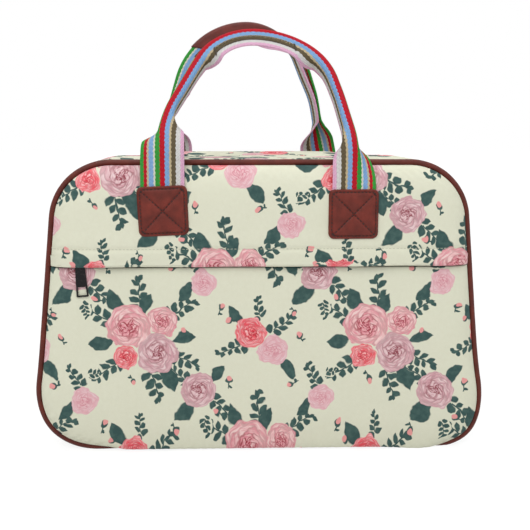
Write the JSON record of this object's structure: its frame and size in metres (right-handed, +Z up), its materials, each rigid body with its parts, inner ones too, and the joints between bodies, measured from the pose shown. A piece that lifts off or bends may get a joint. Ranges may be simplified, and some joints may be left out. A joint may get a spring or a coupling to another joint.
{
  "type": "overnight bag",
  "caption": "Soft rectangular overnight bag of rose-printed cloth with leather piping, arched webbing handles, a zipped top and a zipped front pocket under a flap.",
  "frame": {"origin": "middle of the bag's flat bottom, on the surface it stands on", "axes": "+X across the bag to the viewer's right, -Y out of the front with the zipped pocket, +Z up"},
  "size_m": [0.427, 0.1937, 0.425],
  "materials": {
    "printed_cloth": "cream canvas printed with posies of pink roses and grey-green leaves",
    "lining_cloth": "plain cream cotton lining",
    "brown_leather": "red-brown imitation leather with a fine grain and a soft sheen",
    "dark_leather": "darker brown imitation leather, smooth from handling",
    "striped_webbing": "ribbed webbing woven with lengthwise stripes in green, red, blue, cream, olive and pink",
    "cord": "twisted cotton filler cord",
    "zip_tape": "woven polyester tape",
    "zip_teeth": "moulded plastic teeth",
    "black_metal": "blackened cast metal",
    "board": "stiff plastic sheet"
  },
  "bodies": {
    "bag": {"back_panel": "printed_cloth", "base_board": "board", "front_inner_wall": "lining_cloth", "front_pocket_panel": "printed_cloth", "front_upper_panel": "printed_cloth", "grip_back": "dark_leather", "grip_front": "dark_leather", "handle_back": "striped_webbing", "handle_front": "striped_webbing", "lining": "lining_cloth", "main_zip_bottom_stop": "black_metal", "main_zip_tape_back": "zip_tape", "main_zip_tape_front": "zip_tape", "main_zip_teeth_back": "zip_teeth", "main_zip_teeth_front": "zip_teeth", "main_zip_top_stop_back": "black_metal", "main_zip_top_stop_front": "black_metal", "patch_back_left": "brown_leather", "patch_back_right": "brown_leather", "patch_front_left": "brown_leather", "patch_front_right": "brown_leather", "piping_back": "brown_leather", "piping_cord_back": "cord", "piping_cord_front": "cord", "piping_front": "brown_leather", "pocket_zip_bottom_stop": "black_metal", "pocket_zip_tape_lower": "zip_tape", "pocket_zip_tape_upper": "zip_tape", "pocket_zip_teeth_lower": "zip_teeth", "pocket_zip_teeth_upper": "zip_teeth", "pocket_zip_top_stop_lower": "black_metal", "pocket_zip_top_stop_upper": "black_metal", "side_bottom_gusset": "printed_cloth", "top_strip_back": "printed_cloth", "top_strip_front": "printed_cloth"},
    "main_slider": {"main_zip_slider": "black_metal"},
    "main_pull": {"main_zip_pull": "black_metal"},
    "pocket_slider": {"pocket_zip_slider": "black_metal"},
    "pocket_pull": {"pocket_zip_pull": "black_metal"}
  },
  "joints": [
    {"name": "main_zip_slide", "type": "slide", "parent": "bag", "child": "main_slider", "axis": [1, 0, 0], "range_m": [0, 0.223], "deforming": ["main_zip_teeth_front", "main_zip_teeth_back"]},
    {"name": "main_pull_flip", "type": "hinge", "parent": "main_slider", "child": "main_pull", "pos_m": [-0.104, 0, 0.281], "axis": [0, -1, 0], "range_deg": [0, 165]},
    {"name": "pocket_zip_slide", "type": "slide", "parent": "bag", "child": "pocket_slider", "axis": [1, 0, 0], "range_m": [0, 0.328], "deforming": ["pocket_zip_teeth_lower", "pocket_zip_teeth_upper"]},
    {"name": "pocket_pull_swing", "type": "hinge", "parent": "pocket_slider", "child": "pocket_pull", "pos_m": [-0.1676, -0.0861, 0.1865], "axis": [0, 1, 0], "range_deg": [-36, 54]}
  ]
}
